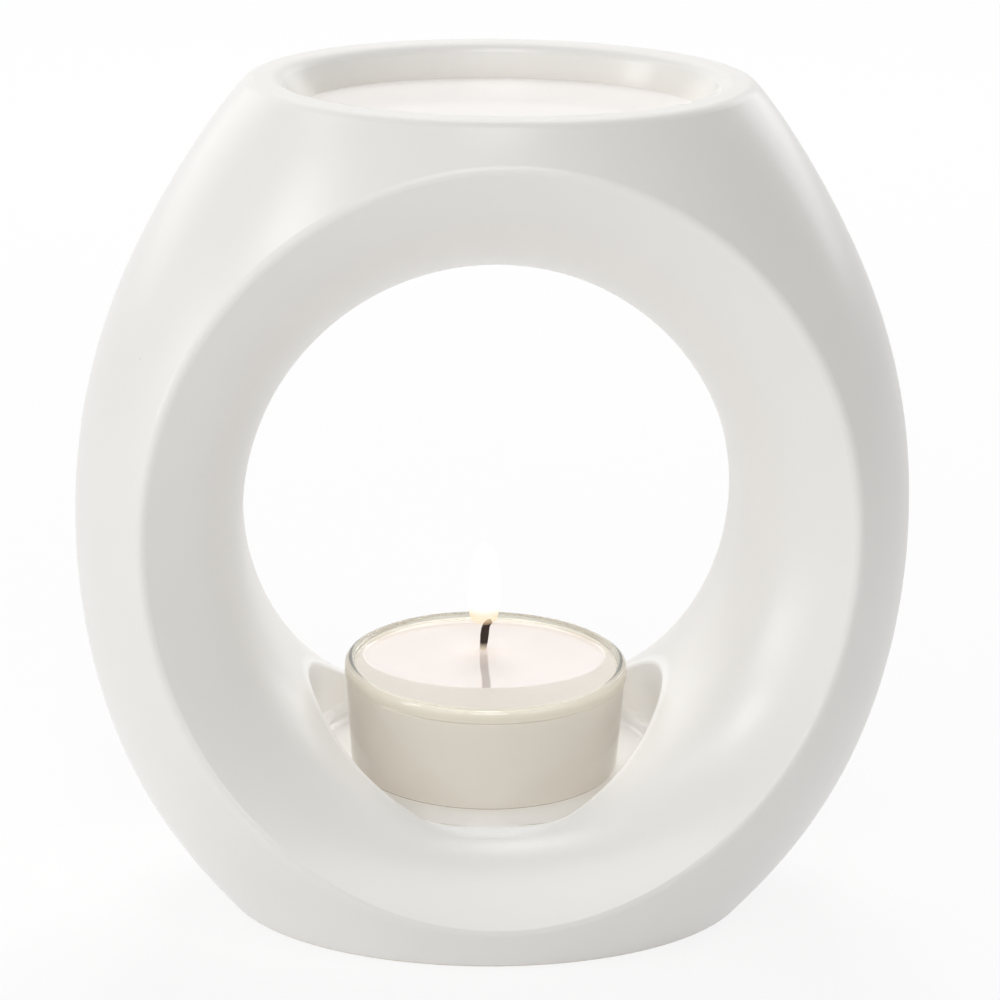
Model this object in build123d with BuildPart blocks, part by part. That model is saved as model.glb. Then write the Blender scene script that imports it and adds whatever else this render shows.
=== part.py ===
from build123d import *
import os

# An oil burner in white glazed ceramic. One barrel-shaped body, oval in plan, has a wide
# waisted hole from front to back, a shallow dish of water and oil on top, and a round
# well in the floor of the hole, where a tealight in a clear cup stands.
# Millimetres, +Z up, front towards -Y, origin on the table under the middle of the body.

# Heights of the body, from the table up
foot_recess_height = 12.0
seat_wall = 7.2
well_depth = 1.8
throat_height = 71.0
ceiling_wall = 8.0
dish_depth = 16.0

# Width and depth of the barrel where it is widest, width of the hole at its waist, and
# how far left of the barrel's middle the hole, the well and the tealight stand
barrel_width = 113.4
barrel_depth = 85.0
throat_width = 66.8
hole_shift = 0.65

# How far the hole has opened past its waist where it reaches the outside, and the power
# that its growth follows: the higher, the longer it stays straight before it opens
flare_side = 14.2
flare_top = 17.9
flare_bottom = 15.5
flare_side_power = 3.15
flare_top_power = 2.55
flare_bottom_power = 7.4

# Walls and rounded edges of the body
rim_width = 4.0
rim_round = 1.85
foot_width = 7.0
foot_round = 1.3
recess_round = 3.0
crease_round = 1.2
well_round = 0.7
well_cove = 0.9

# Water in the dish
water_below_rim = 4.3

# Clear cup of the tealight, and its place in the well
cup_rim_radius = 19.5
cup_base_radius = 18.5
cup_height = 15.0
cup_wall = 1.1
cup_floor = 0.8
cup_foot_round = 0.8
cup_rim_round = 0.4
cup_clearance = 4.9

# Wax, with the oval pool that the flame has melted in it, nearer to the back of the cup
wax_below_rim = 0.9
pool_depth = 0.2
pool_half_width = 16.6
pool_half_depth = 13.0
pool_setback = 4.3

# Wick, and the small metal disc with a neck that holds it on the floor of the cup. Both
# stand behind the middle of the cup.
wick_setback = 6.6
wick_radius = 0.55
wick_above_wax = 4.7
wick_bend_radius = 1.1
wick_bend_angle = 68.0
sustainer_radius = 6.0
sustainer_thickness = 0.4
neck_wall = 0.35
neck_height = 2.6

# Barrel outline: share of the height, and share of the widest oval at that height
barrel_shares = [
    (0.00, 0.633),
    (0.06, 0.735),
    (0.20, 0.898),
    (0.35, 0.981),
    (0.50, 1.000),
    (0.65, 0.960),
    (0.80, 0.850),
    (0.92, 0.712),
    (1.00, 0.589),
]

# Places across half the depth where the hole's oval is drawn, and where its sides,
# top and bottom come out through the barrel
hole_station_shares = [0.0, 0.22, 0.36, 0.47, 0.56, 0.64, 0.71, 0.775, 0.835, 0.89]
slab_reach_share = 0.80
side_reach_share = 0.553
top_reach_share = 0.659
bottom_reach_share = 0.741

# Dish outline: share of the depth of the dish, and share of its mouth at that depth
dish_shares = [
    (0.00, 1.00),
    (0.27, 0.915),
    (0.55, 0.79),
    (0.80, 0.60),
    (1.00, 0.34),
]

# Sizes that follow from the ones above
seat_height = foot_recess_height + seat_wall
throat_bottom = seat_height + well_depth
throat_middle = throat_bottom + throat_height / 2
dish_bottom = throat_bottom + throat_height + ceiling_wall
body_height = dish_bottom + dish_depth
rim_share = barrel_shares[-1][1]
foot_share = barrel_shares[0][1]
dish_half_width = rim_share * barrel_width / 2 - rim_width
dish_half_depth = rim_share * barrel_depth / 2 - rim_width
recess_half_width = foot_share * barrel_width / 2 - foot_width
recess_half_depth = foot_share * barrel_depth / 2 - foot_width
well_radius = cup_rim_radius + cup_clearance
water_level = body_height - water_below_rim
cup_top = seat_height + cup_height
cup_inside_floor = seat_height + cup_floor
wax_level = cup_top - wax_below_rim
inside_rim_radius = cup_rim_radius - cup_wall
inside_base_radius = cup_base_radius - cup_wall
wall_slope = (cup_rim_radius - cup_base_radius) / cup_height
wax_top_radius = inside_rim_radius - wax_below_rim * wall_slope
pool_level = wax_level - pool_depth
wick_bend_start = wax_level + wick_above_wax - wick_bend_radius
neck_radius = wick_radius + neck_wall
inside_floor_radius = inside_base_radius + cup_floor * wall_slope
cup_axis = Axis((-hole_shift, 0, 0), (0, 0, 1))
cup_plane = Plane(origin=(-hole_shift, 0, 0), x_dir=(1, 0, 0), z_dir=(0, -1, 0))
wick_plane = Plane(origin=(-hole_shift, wick_setback, 0), x_dir=(1, 0, 0), z_dir=(0, -1, 0))


# The oval of the hole at one distance from the middle: half its width, and its top and bottom
def hole_oval(distance):
    half_depth = barrel_depth / 2
    side_growth = (distance / (side_reach_share * half_depth)) ** flare_side_power
    top_growth = (distance / (top_reach_share * half_depth)) ** flare_top_power
    bottom_growth = (distance / (bottom_reach_share * half_depth)) ** flare_bottom_power
    half_width = throat_width / 2 + flare_side * side_growth
    top = throat_middle + throat_height / 2 + flare_top * top_growth
    bottom = throat_middle - throat_height / 2 - flare_bottom * bottom_growth
    return half_width, top, bottom


# The room inside the dish, which also gives the water its shape
def dish_room():
    with BuildPart() as room:
        for depth_share, mouth_share in dish_shares:
            with BuildSketch(Plane.XY.offset(body_height - depth_share * dish_depth)):
                Ellipse(mouth_share * dish_half_width, mouth_share * dish_half_depth)
        loft()
    return room.part


# The room cut out for the well: straight up from a flat floor with a rounded inner corner
def well_room():
    with BuildPart() as room:
        with BuildSketch(Plane.XY.offset(seat_height)):
            with Locations((-hole_shift, 0)):
                Circle(well_radius)
        extrude(amount=well_depth + throat_height / 2)
        fillet(room.edges().sort_by(Axis.Z)[0], radius=well_cove)
    return room.part


os.makedirs("parts", exist_ok=True)


# Ceramic body
hole_reach = slab_reach_share * barrel_depth / 2
hole_stations = [-share * barrel_depth / 2 for share in reversed(hole_station_shares[1:])]
hole_stations += [share * barrel_depth / 2 for share in hole_station_shares]
dish_space = dish_room()
well_space = well_room()

with BuildPart() as ceramic_body:
    for height_share, oval_share in barrel_shares:
        with BuildSketch(Plane.XY.offset(height_share * body_height)):
            Ellipse(oval_share * barrel_width / 2, oval_share * barrel_depth / 2)
    loft()
    Box(2 * barrel_width, 2 * hole_reach, 3 * body_height, mode=Mode.INTERSECT)
    for station in hole_stations:
        half_width, top, bottom = hole_oval(abs(station))
        with BuildSketch(Plane.XZ.offset(station)):
            with Locations((-hole_shift, (top + bottom) / 2)):
                Ellipse(half_width, (top - bottom) / 2)
    loft(mode=Mode.SUBTRACT)
    crease = ceramic_body.edges(Select.LAST).filter_by(lambda edge: abs(edge.center().Y) > hole_reach / 4)
    fillet(crease, radius=crease_round)
    add(dish_space, mode=Mode.SUBTRACT)
    rim_edges = ceramic_body.faces().sort_by(Axis.Z)[-1].edges()
    fillet(rim_edges, radius=rim_round)
    with BuildSketch(Plane.XY):
        Ellipse(recess_half_width, recess_half_depth)
    extrude(amount=foot_recess_height, mode=Mode.SUBTRACT)
    recess_top = ceramic_body.edges(Select.LAST).sort_by(Axis.Z)[-1]
    fillet(recess_top, radius=recess_round)
    foot_edge = ceramic_body.faces().sort_by(Axis.Z)[0].outer_wire().edges()
    fillet(foot_edge, radius=foot_round)
    add(well_space, mode=Mode.SUBTRACT)
    well_edges = ceramic_body.edges(Select.LAST).filter_by(GeomType.CIRCLE, reverse=True)
    fillet(well_edges, radius=well_round)

ceramic_body.part.label = "ceramic_body"
export_step(ceramic_body.part, "parts/ceramic_body.step")


# Water in the dish
with BuildPart() as water:
    add(dish_space)
    Box(barrel_width, barrel_depth, 2 * water_level, mode=Mode.INTERSECT)

water.part.label = "water"
export_step(water.part, "parts/water.step")


# Clear cup of the tealight: a tapered wall, a floor and rounded edges
with BuildPart() as tealight_cup:
    with BuildSketch(cup_plane):
        with BuildLine():
            Polyline(
                (0, seat_height),
                (cup_base_radius, seat_height),
                (cup_rim_radius, cup_top),
                (inside_rim_radius, cup_top),
                (inside_floor_radius, cup_inside_floor),
                (0, cup_inside_floor),
                close=True,
            )
        make_face()
    revolve(axis=cup_axis)
    rings = tealight_cup.edges().filter_by(GeomType.CIRCLE)
    fillet(rings.group_by(Axis.Z)[-1], radius=cup_rim_round)
    fillet(rings.group_by(Axis.Z)[0], radius=cup_foot_round)

tealight_cup.part.label = "tealight_cup"
export_step(tealight_cup.part, "parts/tealight_cup.step")


# Wick: up from the floor of the cup, bent over to the right at its burnt tip
with BuildPart() as wick:
    with BuildLine(wick_plane) as wick_path:
        Line((0, cup_inside_floor), (0, wick_bend_start))
        JernArc((0, wick_bend_start), (0, 1), wick_bend_radius, -wick_bend_angle)
    with BuildSketch(Plane.XY.offset(cup_inside_floor)):
        with Locations((-hole_shift, wick_setback)):
            Circle(wick_radius)
    sweep(path=wick_path.line)

wick.part.label = "wick"
export_step(wick.part, "parts/wick.step")


# Metal disc under the wax, with the neck that grips the wick
with BuildPart() as wick_sustainer:
    with BuildSketch(Plane.XY.offset(cup_inside_floor)):
        with Locations((-hole_shift, wick_setback)):
            Circle(sustainer_radius)
            Circle(wick_radius, mode=Mode.SUBTRACT)
    extrude(amount=sustainer_thickness)
    with BuildSketch(Plane.XY.offset(cup_inside_floor)):
        with Locations((-hole_shift, wick_setback)):
            Circle(neck_radius)
            Circle(wick_radius, mode=Mode.SUBTRACT)
    extrude(amount=neck_height)

wick_sustainer.part.label = "wick_sustainer"
export_step(wick_sustainer.part, "parts/wick_sustainer.step")


# Wax poured round the wick up to its level in the cup, with a shallow melted pool
with BuildPart() as wax:
    with BuildSketch(cup_plane):
        with BuildLine():
            Polyline(
                (0, cup_inside_floor),
                (inside_floor_radius, cup_inside_floor),
                (wax_top_radius, wax_level),
                (0, wax_level),
                close=True,
            )
        make_face()
    revolve(axis=cup_axis)
    with BuildSketch(Plane.XY.offset(pool_level)):
        with Locations((-hole_shift, pool_setback)):
            Ellipse(pool_half_width, pool_half_depth)
    extrude(amount=pool_depth, mode=Mode.SUBTRACT)
    add(wick.part, mode=Mode.SUBTRACT)
    add(wick_sustainer.part, mode=Mode.SUBTRACT)

wax.part.label = "wax"
export_step(wax.part, "parts/wax.step")
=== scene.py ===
# %% [markdown]
# An oil burner in white glazed ceramic, with a lit tealight in its hole and water in the
# dish on top. This lesson dresses a fixed CAD model of it: each step says what the piece
# or finish is on the real thing, how it could be made here, and why it is made this way.
# Everything is in metres, with +Z up and the front of the burner towards -Y.

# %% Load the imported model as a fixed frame
import math

import bpy
from mathutils import Matrix, Vector


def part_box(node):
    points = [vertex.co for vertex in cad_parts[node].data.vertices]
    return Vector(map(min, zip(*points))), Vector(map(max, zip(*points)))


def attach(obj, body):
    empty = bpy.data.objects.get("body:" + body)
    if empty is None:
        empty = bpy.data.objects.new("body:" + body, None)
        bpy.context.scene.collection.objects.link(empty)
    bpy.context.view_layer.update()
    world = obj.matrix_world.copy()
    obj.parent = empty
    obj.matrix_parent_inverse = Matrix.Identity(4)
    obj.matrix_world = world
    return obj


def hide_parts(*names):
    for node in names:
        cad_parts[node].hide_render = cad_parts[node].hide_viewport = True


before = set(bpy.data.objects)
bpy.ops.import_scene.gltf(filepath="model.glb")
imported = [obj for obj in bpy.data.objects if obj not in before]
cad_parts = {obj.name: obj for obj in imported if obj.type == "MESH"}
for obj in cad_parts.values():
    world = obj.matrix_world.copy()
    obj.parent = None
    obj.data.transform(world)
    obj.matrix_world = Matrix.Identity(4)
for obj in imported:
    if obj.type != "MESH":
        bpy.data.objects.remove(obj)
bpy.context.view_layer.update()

# %% [markdown]
# Sizes that the pieces share are read from the CAD model, so that a piece always sits
# where its solid does. One millimetre is the unit that a potter or candle maker would
# use, so small sizes are written as multiples of it.

# %% Sizes read from the frame
MM = 0.001

body_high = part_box("ceramic_body")[1]
cup_low, cup_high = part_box("tealight_cup")
wax_low, wax_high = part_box("wax")
water_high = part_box("water")[1]
wick_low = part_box("wick")[0]


def middle_of(node):
    low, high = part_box(node)
    return Vector(((low.x + high.x) / 2, (low.y + high.y) / 2, 0))


cup_middle = middle_of("tealight_cup")
wick_middle = middle_of("wick_sustainer")

print("body", round(body_high.z / MM, 1), "mm, cup", round((cup_high.z - cup_low.z) / MM, 1), "mm tall")

# %% [markdown]
# The photograph looks a little down on the burner and a little from its left, with a
# long lens. The camera could be aimed by hand in the viewport, but its place was worked
# out from the outline, the rim of the dish and the rim of the cup, so it is written as a
# direction, a distance and a roll, and turned into one matrix.

# %% Camera
camera_azimuth = math.radians(-3.61)
camera_elevation = math.radians(18.67)
camera_roll = math.radians(1.10)
camera_distance = 550 * MM
aim_right = 0.89 * MM
aim_height = 57.34 * MM
sensor_width_mm = 36
lens_mm = 145.26

back = Vector((
    math.sin(camera_azimuth) * math.cos(camera_elevation),
    -math.cos(camera_azimuth) * math.cos(camera_elevation),
    math.sin(camera_elevation),
))
level = Vector((math.cos(camera_azimuth), math.sin(camera_azimuth), 0))
upright = back.cross(level)
right = level * math.cos(camera_roll) + upright * math.sin(camera_roll)
upward = upright * math.cos(camera_roll) - level * math.sin(camera_roll)
aim = level * aim_right + Vector((0, 0, aim_height))
turned = Matrix((right, upward, back)).transposed().to_4x4()

camera_data = bpy.data.cameras.new("camera")
camera_data.sensor_width = sensor_width_mm
camera_data.lens = lens_mm
camera_data.clip_start = 10 * MM
camera = bpy.data.objects.new("camera", camera_data)
bpy.context.scene.collection.objects.link(camera)
camera.matrix_world = Matrix.Translation(aim + back * camera_distance) @ turned
bpy.context.scene.camera = camera
bpy.context.scene.view_settings.view_transform = "Standard"
print("camera at", [round(c / MM) for c in camera.location], "mm")

# %% [markdown]
# Colours are written as the hex codes that a colour picker shows, which are sRGB. The
# shaders work in linear light, so one function turns the first into the second, with the
# numbers of the sRGB standard. A second function adds a node with its settings and its
# links in one go, because a material written out call by call is hard to read. The
# sockets of a Mix node share their names, so names are given to their numbers.

# %% Helpers for colours and nodes
COLOUR_A, COLOUR_B, MIXED_COLOUR = 6, 7, 2
NUMBER_A, NUMBER_B = 2, 3


def linear(hex_code):
    channels = [int(hex_code[i:i + 2], 16) / 255 for i in (0, 2, 4)]
    return [c / 12.92 if c <= 0.04045 else ((c + 0.055) / 1.055) ** 2.4 for c in channels] + [1]


def add_node(tree, kind, settings=None, links=None):
    made = tree.nodes.new(kind)
    for name, value in (settings or {}).items():
        if isinstance(name, int) or name in made.inputs:
            made.inputs[name].default_value = value
        else:
            setattr(made, name, value)
    for name, source in (links or {}).items():
        tree.links.new(source, made.inputs[name])
    return made


def new_material(name):
    material = bpy.data.materials.new(name)
    material.use_nodes = True
    material.node_tree.nodes.clear()
    return material, material.node_tree


print("a picked 808080 is", round(linear("808080")[0], 3), "in linear light")

# %% [markdown]
# The photograph was taken in a white tent on a white sheet, with white all round. The
# world gives that. It could be one flat strength for every ray, but then a level that
# lights the burner well would show as grey, so rays that the camera, a reflection or
# glass sends out see full white.

# %% World
lit_level = 0.20
shown_level = 1.0
full_white = (1, 1, 1, 1)


def add_seen_share(tree):
    rays = add_node(tree, "ShaderNodeLightPath")
    seen = rays.outputs["Is Camera Ray"]
    for kind in ("Is Glossy Ray", "Is Transmission Ray"):
        links = {0: seen, 1: rays.outputs[kind]}
        seen = add_node(tree, "ShaderNodeMath", {"operation": "MAXIMUM"}, links).outputs[0]
    return seen


world = bpy.data.worlds.new("white_tent")
bpy.context.scene.world = world
world.use_nodes = True
sky = world.node_tree
sky.nodes.clear()
lit = add_node(sky, "ShaderNodeBackground", {"Color": full_white, "Strength": lit_level})
shown = add_node(sky, "ShaderNodeBackground", {"Color": full_white, "Strength": shown_level})
both = add_node(
    sky, "ShaderNodeMixShader", {}, {0: add_seen_share(sky), 1: lit.outputs[0], 2: shown.outputs[0]},
)
add_node(sky, "ShaderNodeOutputWorld", {}, {"Surface": both.outputs[0]})
print("the tent lights at", lit_level, "and shows at", shown_level)

# %% [markdown]
# The tent lets in broad soft light, more from the left than from the right. Square lamps
# do that, each with the watts that its side of the photograph asks for. They could be a
# few strong ones, but nine weaker ones follow the slow shading of the glaze better. The
# lamp behind stands for the bright back of the tent, which has no edge, so the glaze
# doesn't mirror it: as a square it would draw a hard white line on the rim of the dish.

# %% Lamps
lamp_aim = Vector((0, 0, 0.06))
broad, medium, narrow = 0.5, 0.4, 0.22
lamps = [
    ("lamp_left_low", (-0.90, -0.20, 0.08), broad, 1.9),
    ("lamp_left_back", (-0.64, 0.64, 0.40), broad, 0.65),
    ("lamp_left_front", (-0.70, -0.30, 0.50), narrow, 0.85),
    ("lamp_left_front_low", (-0.50, -0.75, 0.10), medium, 0.28),
    ("lamp_left_high", (-0.60, -0.05, 0.75), narrow, 0.34),
    ("lamp_front", (0, -0.90, 0.35), broad, 2.0),
    ("lamp_front_high", (0, -0.45, 0.85), narrow, 1.15),
    ("lamp_back", (0, 0.60, 0.75), broad, 4.9),
    ("lamp_right_back", (0.64, 0.64, 0.40), broad, 1.2),
]

for name, place, size, watts in lamps:
    data = bpy.data.lights.new(name, "AREA")
    data.shape = "SQUARE"
    data.size = size
    data.energy = watts
    lamp = bpy.data.objects.new(name, data)
    bpy.context.scene.collection.objects.link(lamp)
    lamp.location = place
    lamp.rotation_euler = (Vector(place) - lamp_aim).to_track_quat("Z", "Y").to_euler()
bpy.data.objects["lamp_back"].visible_glossy = False
print("lamps:", len(lamps), "with", round(sum(watts for *_, watts in lamps), 2), "watts together")

# %% [markdown]
# The floor is a sheet of white paper, matt all over. It has to look white and still hold
# the burner's shadow, so what the camera sees is mostly an even white and partly the lit
# sheet. Light that bounces off it meets mostly the lit sheet, with a little of the even
# white for the tent's light that the lamps leave out. That brightens the foot and the
# roof of the hole.

# %% Floor
floor_width = 6
white_share_seen = 0.85
white_share_bounced = 0.15

bpy.ops.object.select_all(action="DESELECT")
bpy.ops.mesh.primitive_plane_add(size=floor_width)
floor = bpy.context.object
floor.name = "floor"
sheet, tree = new_material("white_paper_sheet")
share = add_node(
    tree, "ShaderNodeMath",
    {"operation": "MULTIPLY_ADD", 1: white_share_seen - white_share_bounced, 2: white_share_bounced},
    {0: add_seen_share(tree)},
)
paper = add_node(tree, "ShaderNodeBsdfDiffuse", {"Color": linear("F2F2F2")})
white = add_node(tree, "ShaderNodeEmission", {"Color": full_white, "Strength": shown_level})
both = add_node(
    tree, "ShaderNodeMixShader", {}, {0: share.outputs[0], 1: paper.outputs[0], 2: white.outputs[0]},
)
add_node(tree, "ShaderNodeOutputMaterial", {}, {"Surface": both.outputs[0]})
floor.data.materials.append(sheet)
print("floor", floor_width, "m wide")

# %% [markdown]
# The body is slip-cast earthenware under a white satin glaze. The glaze is sprayed on and
# melts into a skin about a third of a millimetre thick: it evens out the clay, leaves a
# very shallow waviness, and gives a soft highlight instead of a mirror's. It lies thicker
# in the dish, which makes that creamier and smoother. Round the floor of the well it has
# run together into a glossy ring, with small bubbles along its outer edge, and the ring
# that the burner stands on is wiped bare before firing. The well's ring and the walls of
# the well beside the cup are also painted near white, as painted light that lifts their
# shade. These places could be painted by hand, but they are told apart by where they are
# on the body, from its own coordinates, which needs no painting and no seams.

# %% Glaze: the inside of the dish
dish_half = Vector((29.4 * MM, 21.0 * MM))
dish_coat_depth = 14 * MM

satin_glaze, tree = new_material("white_satin_glaze_on_earthenware")
place = add_node(tree, "ShaderNodeTexCoord").outputs["Object"]
height_up = add_node(tree, "ShaderNodeSeparateXYZ", {}, {0: place}).outputs["Z"]
dish_share = add_node(
    tree, "ShaderNodeVectorMath",
    {"operation": "MULTIPLY", 1: (1 / dish_half.x, 1 / dish_half.y, 0)}, {0: place},
)
dish_reach = add_node(tree, "ShaderNodeVectorMath", {"operation": "LENGTH"}, {0: dish_share.outputs[0]})
in_dish = add_node(
    tree, "ShaderNodeMapRange",
    {"From Min": 0.90, "From Max": 1.00, "To Min": 1.0, "To Max": 0.0},
    {"Value": dish_reach.outputs["Value"]},
)
high = add_node(
    tree, "ShaderNodeMath",
    {"operation": "GREATER_THAN", 1: body_high.z - dish_coat_depth}, {0: height_up},
)
dish_coat = add_node(
    tree, "ShaderNodeMath", {"operation": "MULTIPLY"}, {0: in_dish.outputs[0], 1: high.outputs[0]},
)
print("dish coat down to", round((body_high.z - dish_coat_depth) / MM, 1), "mm")

# %% [markdown]
# The well's ring of thick glaze lies flat on its floor, 14 to 25 mm from the middle of the
# cup. It is made of three limits multiplied together: how far out, how near to the floor,
# and at the height of the cup alone, so that the hollow under the foot doesn't get it. The
# first and the last limit alone also reach up the walls of the well beside the cup, and all
# of that is painted whiter than the glaze: painted light that lifts the shade round the
# cup. The bubbles have a limit of their own, close to the wall of the well.

# %% Glaze: the glossy ring round the floor of the well, and painted light round the cup
ring_starts, ring_full = 14.0 * MM, 18.5 * MM
ring_fades, ring_ends = 24.6 * MM, 25.6 * MM
pool_fades, pool_ends = cup_low.z + 1.8 * MM, cup_low.z + 3.0 * MM
bubbles_start, bubbles_full = 23.4 * MM, 24.0 * MM

from_cup = add_node(tree, "ShaderNodeVectorMath", {"operation": "SUBTRACT", 1: cup_middle}, {0: place})
level_cup = add_node(
    tree, "ShaderNodeVectorMath", {"operation": "MULTIPLY", 1: (1, 1, 0)}, {0: from_cup.outputs[0]},
)
well_reach = add_node(
    tree, "ShaderNodeVectorMath", {"operation": "LENGTH"}, {0: level_cup.outputs[0]},
).outputs["Value"]
in_well = add_node(
    tree, "ShaderNodeMapRange",
    {"From Min": ring_fades, "From Max": ring_ends, "To Min": 1.0, "To Max": 0.0}, {"Value": well_reach},
)
run_out = add_node(
    tree, "ShaderNodeMapRange", {"From Min": ring_starts, "From Max": ring_full}, {"Value": well_reach},
)
in_ring = add_node(
    tree, "ShaderNodeMath", {"operation": "MULTIPLY"}, {0: in_well.outputs[0], 1: run_out.outputs[0]},
)
by_cup = add_node(
    tree, "ShaderNodeMath",
    {"operation": "COMPARE", 1: (cup_low.z + cup_high.z) / 2, 2: (cup_high.z - cup_low.z) / 2 + 1 * MM},
    {0: height_up},
)
# the ring and the walls of the well at the cup's height: thick glaze, and where the glaze is painted
# whiter as painted light
ring_glaze_and_painted_light = add_node(
    tree, "ShaderNodeMath", {"operation": "MULTIPLY"}, {0: in_ring.outputs[0], 1: by_cup.outputs[0]},
)
flat = add_node(
    tree, "ShaderNodeMapRange",
    {"From Min": pool_fades, "From Max": pool_ends, "To Min": 1.0, "To Max": 0.0}, {"Value": height_up},
)
well_coat = add_node(
    tree, "ShaderNodeMath", {"operation": "MULTIPLY"}, {0: ring_glaze_and_painted_light.outputs[0], 1: flat.outputs[0]},
)
lip = add_node(
    tree, "ShaderNodeMapRange",
    {"From Min": bubbles_start, "From Max": bubbles_full}, {"Value": well_reach},
)
print("ring of thick glaze out to", round(ring_fades / MM, 1), "mm from the cup's middle")

# %% [markdown]
# The colour of the glaze clouds by a shade over a few centimetres, as thicker and thinner
# glaze does. A few iron specks, a third of a millimetre wide, burn through, as in any
# white glaze. The bare foot shows the buff of the clay.

# %% Glaze: colour
cloud_size = 28 * MM
speck_spacing = 14 * MM
speck_core, speck_edge = 0.008, 0.018
bare_full, bare_ends = 0.25 * MM, 0.45 * MM

bare_foot = add_node(
    tree, "ShaderNodeMapRange",
    {"From Min": bare_full, "From Max": bare_ends, "To Min": 1.0, "To Max": 0.0}, {"Value": height_up},
)
cloud = add_node(tree, "ShaderNodeTexNoise", {"Scale": 1 / cloud_size, "Detail": 2.0}, {"Vector": place})
cloudy = add_node(
    tree, "ShaderNodeMix",
    {"data_type": "RGBA", COLOUR_A: linear("ECEAE6"), COLOUR_B: linear("F2F0ED")}, {0: cloud.outputs[0]},
)
dish_tone = add_node(
    tree, "ShaderNodeMix", {"data_type": "RGBA", COLOUR_B: linear("F6F2EA")},
    {0: dish_coat.outputs[0], COLOUR_A: cloudy.outputs[MIXED_COLOUR]},
)
# near white on the well's ring and walls beside the cup: painted light that lifts their shade
tone = add_node(
    tree, "ShaderNodeMix", {"data_type": "RGBA", COLOUR_B: linear("FEFDFB")},
    {0: ring_glaze_and_painted_light.outputs[0], COLOUR_A: dish_tone.outputs[MIXED_COLOUR]},
)
speck = add_node(tree, "ShaderNodeTexVoronoi", {"Scale": 1 / speck_spacing}, {"Vector": place})
iron = add_node(
    tree, "ShaderNodeMapRange",
    {"From Min": speck_core, "From Max": speck_edge, "To Min": 0.22, "To Max": 0.0},
    {"Value": speck.outputs["Distance"]},
)
specked = add_node(
    tree, "ShaderNodeMix", {"data_type": "RGBA", COLOUR_B: linear("A08868")},
    {0: iron.outputs[0], COLOUR_A: tone.outputs[MIXED_COLOUR]},
)
clay = add_node(
    tree, "ShaderNodeMix", {"data_type": "RGBA", COLOUR_B: linear("DDCFBC")},
    {0: bare_foot.outputs[0], COLOUR_A: specked.outputs[MIXED_COLOUR]},
)
print("glaze colour takes", len(tree.nodes), "nodes so far")

# %% [markdown]
# What the hand would feel is drawn last: how rough each place is, the slow ripple of the
# melted skin, and the bubbles. Those are about half a millimetre wide here, twice their
# real size, so that they show. The ring in the well has a clear glossy coat of its own.

# %% Glaze: gloss, ripple and bubbles
satin_rough, dish_rough, ring_rough, clay_rough = 0.29, 0.20, 0.10, 0.85
ripple_size = 5 * MM
bubble_size = 0.45 * MM
bubble_height = 4.0

satin = add_node(
    tree, "ShaderNodeMapRange",
    {"To Min": satin_rough, "To Max": dish_rough}, {"Value": dish_coat.outputs[0]},
)
glossy = add_node(
    tree, "ShaderNodeMix", {NUMBER_B: ring_rough}, {0: well_coat.outputs[0], NUMBER_A: satin.outputs[0]},
)
rough = add_node(
    tree, "ShaderNodeMix",
    {NUMBER_B: clay_rough}, {0: bare_foot.outputs[0], NUMBER_A: glossy.outputs[0]},
)
ripple = add_node(
    tree, "ShaderNodeTexNoise", {"Scale": 1 / ripple_size, "Detail": 1.0}, {"Vector": place},
)
bubbles = add_node(
    tree, "ShaderNodeTexNoise", {"Scale": 1 / bubble_size, "Detail": 1.0}, {"Vector": place},
)
pitted = add_node(
    tree, "ShaderNodeMath", {"operation": "MULTIPLY"}, {0: lip.outputs[0], 1: well_coat.outputs[0]},
)
pits = add_node(
    tree, "ShaderNodeMath", {"operation": "MULTIPLY"}, {0: pitted.outputs[0], 1: bubbles.outputs[0]},
)
relief = add_node(
    tree, "ShaderNodeMath", {"operation": "MULTIPLY_ADD", 1: bubble_height},
    {0: pits.outputs[0], 2: ripple.outputs[0]},
)
bump = add_node(
    tree, "ShaderNodeBump", {"Strength": 0.6, "Distance": 0.03 * MM}, {"Height": relief.outputs[0]},
)
glaze = add_node(
    tree, "ShaderNodeBsdfPrincipled", {"IOR": 1.55, "Coat Roughness": 0.05, "Coat IOR": 1.6},
    {
        "Base Color": clay.outputs[MIXED_COLOUR], "Roughness": rough.outputs[0],
        "Coat Weight": well_coat.outputs[0], "Normal": bump.outputs[0],
    },
)
add_node(tree, "ShaderNodeOutputMaterial", {}, {"Surface": glaze.outputs[0]})

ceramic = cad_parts["ceramic_body"]
ceramic.data.materials.clear()
ceramic.data.materials.append(satin_glaze)
print("glaze covers", len(ceramic.data.polygons), "faces of the body")

# %% [markdown]
# A few small helpers do what the hand does all the time in edit mode. One starts a piece,
# gives it its name and opens edit mode, one selects faces by where they are, one pushes a
# ring out to the next one and scales it, and one closes edit mode, turns the normals
# outward and gives the piece its finish and body. A finished piece keeps its object at the
# origin, so its place is in its mesh.

# %% Helpers for modelling
def start_piece(name):
    piece = bpy.context.object
    piece.name = name
    piece.data.name = name
    bpy.ops.object.transform_apply(location=True, rotation=True, scale=True)
    bpy.ops.object.mode_set(mode="EDIT")
    bpy.ops.mesh.select_mode(type="FACE")
    bpy.ops.mesh.select_all(action="DESELECT")
    return piece


def select_faces(piece, wanted):
    bpy.ops.mesh.select_all(action="DESELECT")
    bpy.ops.object.mode_set(mode="OBJECT")
    for face in piece.data.polygons:
        face.select = bool(wanted(face))
    bpy.ops.object.mode_set(mode="EDIT")


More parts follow.
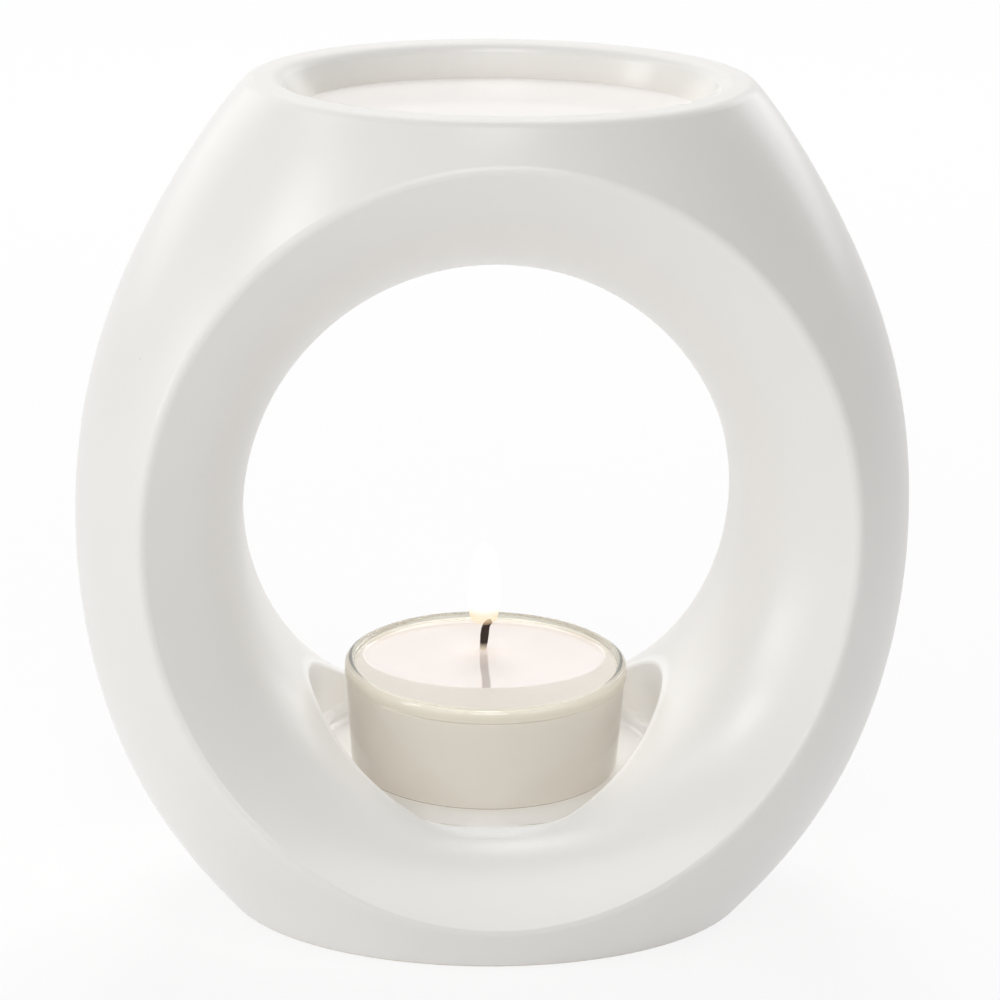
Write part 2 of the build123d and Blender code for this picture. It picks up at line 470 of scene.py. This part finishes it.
# Each ring is its radius and its height over the foot, in millimetres
def start_rings(name, rings, corners, foot):
    first_radius, first_height = rings[0]
    bpy.ops.object.select_all(action="DESELECT")
    bpy.ops.mesh.primitive_circle_add(
        vertices=corners, radius=first_radius * MM, fill_type="NGON",
        location=foot + Vector((0, 0, first_height * MM)),
    )
    piece = start_piece(name)
    bpy.ops.mesh.select_all(action="SELECT")
    for (before, low), (after, high) in zip(rings, rings[1:]):
        bpy.ops.mesh.extrude_region_move(TRANSFORM_OT_translate={"value": (0, 0, (high - low) * MM)})
        bpy.ops.transform.resize(value=(after / before, after / before, 1), center_override=foot)
    return piece


def end_piece(piece, body, material, smooth_angle=40):
    bpy.ops.mesh.select_all(action="SELECT")
    bpy.ops.mesh.remove_doubles(threshold=0.001 * MM)
    bpy.ops.mesh.normals_make_consistent(inside=False)
    bpy.ops.object.mode_set(mode="OBJECT")
    bpy.ops.object.shade_smooth_by_angle(angle=math.radians(smooth_angle))
    piece.data.materials.clear()
    piece.data.materials.append(material)
    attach(piece, body)
    size_mm = [round(d / MM, 2) for d in piece.dimensions]
    print(piece.name, len(piece.data.polygons), "faces,", size_mm, "mm")


# %% [markdown]
# The dish holds water with a few drops of essential oil, which cloud it a little. The eye
# sees its flat surface: the white tent mirrored in it, and a milky paleness underneath. A
# clear body stops lamp light on its way in, so rays that look for a lamp pass straight
# through it.

# %% Clouded water: finish
def add_clear_output(tree, shader):
    rays = add_node(tree, "ShaderNodeLightPath")
    open_way = add_node(tree, "ShaderNodeBsdfTransparent")
    mixed = add_node(
        tree, "ShaderNodeMixShader", {},
        {0: rays.outputs["Is Shadow Ray"], 1: shader.outputs[0], 2: open_way.outputs[0]},
    )
    return add_node(tree, "ShaderNodeOutputMaterial", {}, {"Surface": mixed.outputs[0]})


clouded_water, tree = new_material("clouded_water")
water_shader = add_node(tree, "ShaderNodeBsdfPrincipled", {
    "Base Color": linear("FBF8F6"), "IOR": 1.333, "Roughness": 0.05,
    "Transmission Weight": 0.1, "Specular IOR Level": 0.2,
})
add_clear_output(tree, water_shader)
print(clouded_water.name, len(tree.nodes), "nodes")

# %% [markdown]
# The water could be a flat sheet, but light has to bend where it goes in, so it is a
# closed body: a copy of its solid, merged and drawn a tenth of a millimetre into the
# glaze, so that no gap shows between water and dish. The copy still carries the shading
# directions of the separate faces, which would streak the merged surface, so they are
# cleared first.

# %% Clouded water: shape
into_glaze = 1.004

bpy.ops.object.select_all(action="DESELECT")
water_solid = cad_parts["water"]
water_solid.select_set(True)
bpy.context.view_layer.objects.active = water_solid
bpy.ops.object.duplicate()
bpy.ops.mesh.customdata_custom_splitnormals_clear()
dish_water = start_piece("dish_water")
bpy.ops.mesh.select_all(action="SELECT")
bpy.ops.mesh.remove_doubles(threshold=0.001 * MM)
bpy.ops.transform.resize(value=(into_glaze, into_glaze, 1.0), center_override=(0, 0, water_high.z))
end_piece(dish_water, "burner", clouded_water)
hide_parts("water")

# %% [markdown]
# The tealight's cup is moulded polycarbonate, about a millimetre thick. It is clear and
# very smooth, with a faint grey-green tone where the eye looks along the wall, as at the
# rim: a thin volume of that tone deepens with the way that light takes through the
# plastic. The mould leaves a bead round the rim and a fine groove under it. The bead is
# given a darker tone, painted shade that dims the bright band on it, and the groove a thin
# dark line of painted shade.

# %% Clear cup: finish
groove_height = cup_low.z + 12.98 * MM
groove_shade_full, groove_shade_ends = 0.06 * MM, 0.16 * MM
bead_shade_starts, bead_shade_full = cup_low.z + 13.0 * MM, cup_low.z + 13.6 * MM

clear_polycarbonate, tree = new_material("clear_moulded_polycarbonate")
place = add_node(tree, "ShaderNodeTexCoord").outputs["Object"]
height_up = add_node(tree, "ShaderNodeSeparateXYZ", {}, {0: place}).outputs["Z"]
from_groove = add_node(
    tree, "ShaderNodeMath", {"operation": "SUBTRACT", 1: groove_height}, {0: height_up},
)
groove_reach = add_node(tree, "ShaderNodeMath", {"operation": "ABSOLUTE"}, {0: from_groove.outputs[0]})
# a thin dark line along the groove: painted shade
groove_shade = add_node(
    tree, "ShaderNodeMapRange",
    {"From Min": groove_shade_full, "From Max": groove_shade_ends}, {"Value": groove_reach.outputs[0]},
)
# the bead made darker: painted shade that dims its bright band
bead_shade = add_node(
    tree, "ShaderNodeMapRange", {"From Min": bead_shade_starts, "From Max": bead_shade_full}, {"Value": height_up},
)
plastic = add_node(
    tree, "ShaderNodeMix",
    {"data_type": "RGBA", COLOUR_A: linear("F1F0EA"), COLOUR_B: linear("E2E0D5")}, {0: bead_shade.outputs[0]},
)
# the groove's dark line of painted shade over the plastic's tone
cup_tone = add_node(
    tree, "ShaderNodeMix", {"data_type": "RGBA", COLOUR_A: linear("BAB8AA")},
    {0: groove_shade.outputs[0], COLOUR_B: plastic.outputs[MIXED_COLOUR]},
)
cup_shader = add_node(
    tree, "ShaderNodeBsdfPrincipled", {"IOR": 1.585, "Roughness": 0.02, "Transmission Weight": 0.82},
    {"Base Color": cup_tone.outputs[MIXED_COLOUR]},
)
cup_end = add_clear_output(tree, cup_shader)
tint = add_node(tree, "ShaderNodeVolumeAbsorption", {"Color": linear("CDD0BE"), "Density": 16.0})
tree.links.new(tint.outputs[0], cup_end.inputs["Volume"])
print(clear_polycarbonate.name, len(tree.nodes), "nodes")

# %% [markdown]
# The cup could be spun from a profile, but here one disc is pushed out ring by ring:
# from the hollow under its floor round the foot ring, up the outside, in and out of the
# groove, over the rim and down the inside to the floor. That keeps it one closed wall
# with an inside and an outside, as refraction needs.

# %% Clear cup: shape
cup_rings = [
    (14.0, 0.30), (16.4, 0.30), (16.9, 0.06), (17.5, 0.02), (18.05, 0.06), (18.32, 0.20),
    (18.45, 0.50), (18.50, 1.20), (19.26, 12.76), (19.24, 12.82), (19.04, 12.92), (19.04, 13.00),
    (19.38, 13.05), (19.46, 13.14), (19.48, 14.24), (19.42, 14.53), (19.26, 14.78), (19.01, 14.94),
    (18.72, 15.0), (18.43, 14.94), (18.18, 14.78), (18.02, 14.53), (17.96, 14.24), (17.50, 1.60),
    (17.30, 1.05), (16.9, 0.80), (12.0, 0.80),
]
clear_cup = start_rings("clear_cup", cup_rings, 160, cup_middle + Vector((0, 0, cup_low.z)))
end_piece(clear_cup, "tealight", clear_polycarbonate, 35)
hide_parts("tealight_cup")

# %% [markdown]
# Paraffin wax lets light in a few millimetres before it comes out again, which makes it
# glow rather than look painted. The flame's light travels further than that in it, so a
# faint even glow stands for it. The flame has melted a pool, flat and as glossy as oil,
# so the same material is rough and grained on the ledge round it and smooth in the pool.

# %% Paraffin wax: finish
pool_middle = cup_middle + Vector((0, 4.3 * MM, 0))
pool_half = Vector((16.9 * MM, 13.1 * MM))
pool_rough, ledge_rough = 0.03, 0.35
grain_size = 1.6 * MM

paraffin, tree = new_material("white_paraffin_wax")
place = add_node(tree, "ShaderNodeTexCoord").outputs["Object"]
from_pool = add_node(tree, "ShaderNodeVectorMath", {"operation": "SUBTRACT", 1: pool_middle}, {0: place})
pool_share = add_node(
    tree, "ShaderNodeVectorMath",
    {"operation": "MULTIPLY", 1: (1 / pool_half.x, 1 / pool_half.y, 0)}, {0: from_pool.outputs[0]},
)
pool_reach = add_node(tree, "ShaderNodeVectorMath", {"operation": "LENGTH"}, {0: pool_share.outputs[0]})
solid = add_node(
    tree, "ShaderNodeMapRange",
    {"From Min": 0.985, "From Max": 1.01}, {"Value": pool_reach.outputs["Value"]},
)
melted = add_node(tree, "ShaderNodeMath", {"operation": "SUBTRACT", 0: 1.0}, {1: solid.outputs[0]})
tone = add_node(
    tree, "ShaderNodeMix",
    {"data_type": "RGBA", COLOUR_A: linear("CAC4C3"), COLOUR_B: linear("B2B1AC")}, {0: solid.outputs[0]},
)
rough = add_node(
    tree, "ShaderNodeMapRange",
    {"To Min": pool_rough, "To Max": ledge_rough}, {"Value": solid.outputs[0]},
)
grain = add_node(tree, "ShaderNodeTexNoise", {"Scale": 1 / grain_size, "Detail": 3.0}, {"Vector": place})
grain_share = add_node(tree, "ShaderNodeMath", {"operation": "MULTIPLY", 1: 0.5}, {0: solid.outputs[0]})
bump = add_node(
    tree, "ShaderNodeBump",
    {"Distance": 0.1 * MM}, {"Strength": grain_share.outputs[0], "Height": grain.outputs[0]},
)
wax_shader = add_node(
    tree, "ShaderNodeBsdfPrincipled",
    {
        "IOR": 1.44, "Subsurface Weight": 1.0,
        "Subsurface Radius": (6.0, 5.6, 5.2), "Subsurface Scale": 1.0 * MM,
        "Emission Color": linear("FFEEDE"), "Emission Strength": 0.27,
        "Coat Roughness": 0.02, "Coat IOR": 1.7,
    },
    {
        "Base Color": tone.outputs[MIXED_COLOUR], "Coat Weight": melted.outputs[0],
        "Roughness": rough.outputs[0], "Normal": bump.outputs[0],
    },
)
add_node(tree, "ShaderNodeOutputMaterial", {}, {"Surface": wax_shader.outputs[0]})
print(paraffin.name, len(tree.nodes), "nodes")

# %% [markdown]
# Poured wax climbs a little up the wall of the cup and up the wick, and the rim of its
# pool is a low step. It could be spun too, but the pool is an oval off the middle, so the
# piece starts as a cylinder whose top is inset, squeezed and moved, ring by ring. It
# reaches a little into the wall and the floor of the cup, because poured wax leaves no
# air between them.

# %% Paraffin wax: shape
into_wall = 0.08 * MM
into_floor = 0.5 * MM
taper = 0.35 * MM
climb = 0.2 * MM
climb_width = 0.45 * MM
step_width, step_depth = 0.3 * MM, 0.2 * MM
foot_radius = 1.5 * MM
foot_slope, foot_rise = 0.8 * MM, 0.1 * MM

top_radius = (wax_high.x - wax_low.x) / 2 + into_wall
floor_radius = top_radius - taper
wax_height = wax_high.z - wax_low.z + into_floor
ledge_radius = top_radius - 0.5 * MM

bpy.ops.object.select_all(action="DESELECT")
bpy.ops.mesh.primitive_cylinder_add(
    vertices=128, radius=floor_radius, depth=wax_height,
    location=cup_middle + Vector((0, 0, wax_high.z - wax_height / 2)),
)
wax = start_piece("poured_wax")


def is_top(face):
    return face.normal.z > 0.9 and face.center.z > wax_high.z - 3 * MM and face.area > 60 * MM * MM


def press_top(middle, share_x, share_y, shift_y):
    bpy.ops.mesh.inset(thickness=0.05 * MM, depth=0)
    bpy.ops.transform.resize(value=(share_x, share_y, 1), center_override=middle)
    bpy.ops.transform.translate(value=(0, shift_y, 0))


select_faces(wax, is_top)
widen = top_radius / floor_radius
bpy.ops.transform.resize(value=(widen, widen, 1), center_override=cup_middle)
bpy.ops.transform.translate(value=(0, 0, climb))
bpy.ops.mesh.inset(thickness=climb_width, depth=-climb)
to_pool = pool_middle.y - cup_middle.y
press_top(cup_middle, pool_half.x / ledge_radius, pool_half.y / ledge_radius, to_pool)
bpy.ops.mesh.inset(thickness=step_width, depth=-step_depth)
to_wick = wick_middle.y - pool_middle.y
press_top(pool_middle, foot_radius / pool_half.x, foot_radius / pool_half.y, to_wick)
bpy.ops.mesh.inset(thickness=foot_slope, depth=foot_rise)
end_piece(wax, "tealight", paraffin, 50)

bevel = wax.modifiers.new("soft_edges", "BEVEL")
bevel.width = 0.12 * MM
bevel.segments = 3
bevel.limit_method = "ANGLE"
bevel.angle_limit = math.radians(20)
bpy.ops.object.modifier_apply(modifier=bevel.name)
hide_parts("wax")

# %% [markdown]
# The wick is a braided cotton cord, about a millimetre thick. Where it burns it is black,
# and at its foot it is still pale and soaked with wax. Its strands, a quarter of a
# millimetre wide, make it rough and matt. The char could be painted on, but it follows
# the height alone, so the height mixes the two colours.

# %% Wick: finish
strand_size = 0.25 * MM
char_starts, char_full = wax_high.z + 0.1 * MM, wax_high.z + 0.9 * MM

burnt_cotton, tree = new_material("burnt_braided_cotton")
place = add_node(tree, "ShaderNodeTexCoord").outputs["Object"]
height_up = add_node(tree, "ShaderNodeSeparateXYZ", {}, {0: place}).outputs["Z"]
char = add_node(
    tree, "ShaderNodeMapRange", {"From Min": char_starts, "From Max": char_full}, {"Value": height_up},
)
dark = add_node(
    tree, "ShaderNodeMix",
    {"data_type": "RGBA", COLOUR_A: linear("E8DCC8"), COLOUR_B: linear("2A1A12")}, {0: char.outputs[0]},
)
strands = add_node(
    tree, "ShaderNodeTexNoise", {"Scale": 1 / strand_size, "Detail": 3.0}, {"Vector": place},
)
bump = add_node(
    tree, "ShaderNodeBump", {"Strength": 0.8, "Distance": 0.1 * MM}, {"Height": strands.outputs[0]},
)
wick_shader = add_node(
    tree, "ShaderNodeBsdfPrincipled", {"Roughness": 0.75},
    {"Base Color": dark.outputs[MIXED_COLOUR], "Normal": bump.outputs[0]},
)
add_node(tree, "ShaderNodeOutputMaterial", {}, {"Surface": wick_shader.outputs[0]})
print(burnt_cotton.name, len(tree.nodes), "nodes")

# %% [markdown]
# The burnt end is swollen, and it bends over to one side, which is how a wick trims
# itself. It could be a tube along a curve, but it is drawn as one ring, pushed out section
# by section and turned a little each time, the way a stem is modelled by hand.

# %% Wick: shape
wick_radius = 0.5 * MM
over_floor = 0.1 * MM
# Each section of the burnt end: how far it goes aside and up in millimetres, how much
# thicker it gets, and how far it turns in degrees
sections = [
    (0.10, 0.9, 1.10, 0), (0.05, 0.9, 1.08, 4), (0.10, 0.9, 0.98, 6),
    (0.16, 0.6, 0.88, 12), (0.30, 0.40, 0.85, 22), (0.38, 0.22, 0.75, 24),
]

bpy.ops.object.select_all(action="DESELECT")
bpy.ops.mesh.primitive_circle_add(
    vertices=24, radius=wick_radius, fill_type="NGON",
    location=wick_middle + Vector((0, 0, wick_low.z + over_floor)),
)
burnt_wick = start_piece("burnt_wick")
bpy.ops.mesh.select_all(action="SELECT")
bpy.ops.mesh.extrude_region_move(TRANSFORM_OT_translate={"value": (0, 0, wax_high.z - wick_low.z)})
tip = wick_middle + Vector((0, 0, wax_high.z + over_floor))
for aside, rise, swell, turn in sections:
    step = Vector((aside * MM, 0, rise * MM))
    bpy.ops.mesh.extrude_region_move(TRANSFORM_OT_translate={"value": tuple(step)})
    tip = tip + step
    bpy.ops.transform.resize(value=(swell, swell, swell), center_override=tip)
    bpy.ops.transform.rotate(value=math.radians(-turn), orient_axis="Y", center_override=tip)
end_piece(burnt_wick, "tealight", burnt_cotton, 60)
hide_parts("wick")

# %% [markdown]
# The flame is glowing soot and gas, not a solid: white where it is hottest, cream and
# thinner towards the wick, where it lets the background through. So its finish is light
# alone, mixed with clear air by height, with no surface to catch a highlight.

# %% Flame: finish
flame_low = wax_high.z + 3.6 * MM
flame_strength = 1.15

candle_flame, tree = new_material("candle_flame")
place = add_node(tree, "ShaderNodeTexCoord").outputs["Object"]
height_up = add_node(tree, "ShaderNodeSeparateXYZ", {}, {0: place}).outputs["Z"]
thin = add_node(
    tree, "ShaderNodeMapRange",
    {"From Min": flame_low, "From Max": flame_low + 1.0 * MM, "To Max": 0.5},
    {"Value": height_up},
)
thick = add_node(
    tree, "ShaderNodeMapRange",
    {"From Min": flame_low + 1.2 * MM, "From Max": flame_low + 2.6 * MM, "To Max": 0.5},
    {"Value": height_up},
)
fade = add_node(tree, "ShaderNodeMath", {"operation": "ADD"}, {0: thin.outputs[0], 1: thick.outputs[0]})
hot = add_node(
    tree, "ShaderNodeMapRange",
    {"From Min": flame_low + 1.0 * MM, "From Max": flame_low + 3.0 * MM}, {"Value": height_up},
)
heat = add_node(
    tree, "ShaderNodeMix",
    {"data_type": "RGBA", COLOUR_A: linear("FFDFB4"), COLOUR_B: linear("FFFDFA")}, {0: hot.outputs[0]},
)
glow = add_node(
    tree, "ShaderNodeEmission", {"Strength": flame_strength}, {"Color": heat.outputs[MIXED_COLOUR]},
)
clear = add_node(tree, "ShaderNodeBsdfTransparent")
flame_shader = add_node(
    tree, "ShaderNodeMixShader", {}, {0: fade.outputs[0], 1: clear.outputs[0], 2: glow.outputs[0]},
)
add_node(tree, "ShaderNodeOutputMaterial", {}, {"Surface": flame_shader.outputs[0]})
print(candle_flame.name, len(tree.nodes), "nodes")

# %% [markdown]
# The flame's shape is a slim drop. It is drawn up ring by ring like the cup, closed at
# its tip, and smoothed. A small warm lamp inside it puts its light on the wax. The lamp
# isn't mirrored in the pool, because the flame round it already is.

# %% Flame: shape and light
flame_rings = [
    (1.1, 0), (1.8, 0.7), (2.1, 1.8), (2.22, 3.4), (2.24, 5.2),
    (2.18, 6.9), (2.0, 8.4), (1.7, 9.8), (1.25, 10.9), (0.7, 11.6),
]
tip_height = 0.4 * MM
flame_foot = wick_middle + Vector((0, 0, flame_low))

flame = start_rings("flame", flame_rings, 48, flame_foot)
bpy.ops.mesh.extrude_region_move(TRANSFORM_OT_translate={"value": (0, 0, tip_height)})
bpy.ops.mesh.merge(type="CENTER")
end_piece(flame, "tealight", candle_flame, 80)
smooth = flame.modifiers.new("smooth", "SUBSURF")
smooth.levels = 2
smooth.render_levels = 2
bpy.ops.object.modifier_apply(modifier=smooth.name)

warm = bpy.data.lights.new("flame_light", "POINT")
warm.energy = 0.001
warm.color = linear("FFE2B8")[:3]
warm.shadow_soft_size = 2 * MM
flame_lamp = bpy.data.objects.new("flame_light", warm)
bpy.context.scene.collection.objects.link(flame_lamp)
flame_lamp.location = flame_foot + Vector((0, 0, 5 * MM))
flame_lamp.visible_glossy = False
print("flame light", round(flame_lamp.location.z / MM, 1), "mm up")

# %% [markdown]
# The sustainer is a stamped disc of thin tinned steel on the floor of the cup. Rolled tin
# is bright but a little dull, in patches of about a millimetre. A new disc could be
# modelled, but wax covers it, so its solid stays and only gets its metal.

# %% Sustainer
patch_size = 0.8 * MM

tinned_steel, tree = new_material("stamped_tinned_steel")
place = add_node(tree, "ShaderNodeTexCoord").outputs["Object"]
spangle = add_node(
    tree, "ShaderNodeTexNoise", {"Scale": 1 / patch_size, "Detail": 2.0}, {"Vector": place},
)
dull = add_node(
    tree, "ShaderNodeMapRange", {"To Min": 0.25, "To Max": 0.4}, {"Value": spangle.outputs[0]},
)
steel = add_node(
    tree, "ShaderNodeBsdfPrincipled", {"Base Color": linear("C9C9C4"), "Metallic": 1.0},
    {"Roughness": dull.outputs[0]},
)
add_node(tree, "ShaderNodeOutputMaterial", {}, {"Surface": steel.outputs[0]})
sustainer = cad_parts["wick_sustainer"]
sustainer.data.materials.clear()
sustainer.data.materials.append(tinned_steel)
print(tinned_steel.name, "on", len(sustainer.data.polygons), "faces")
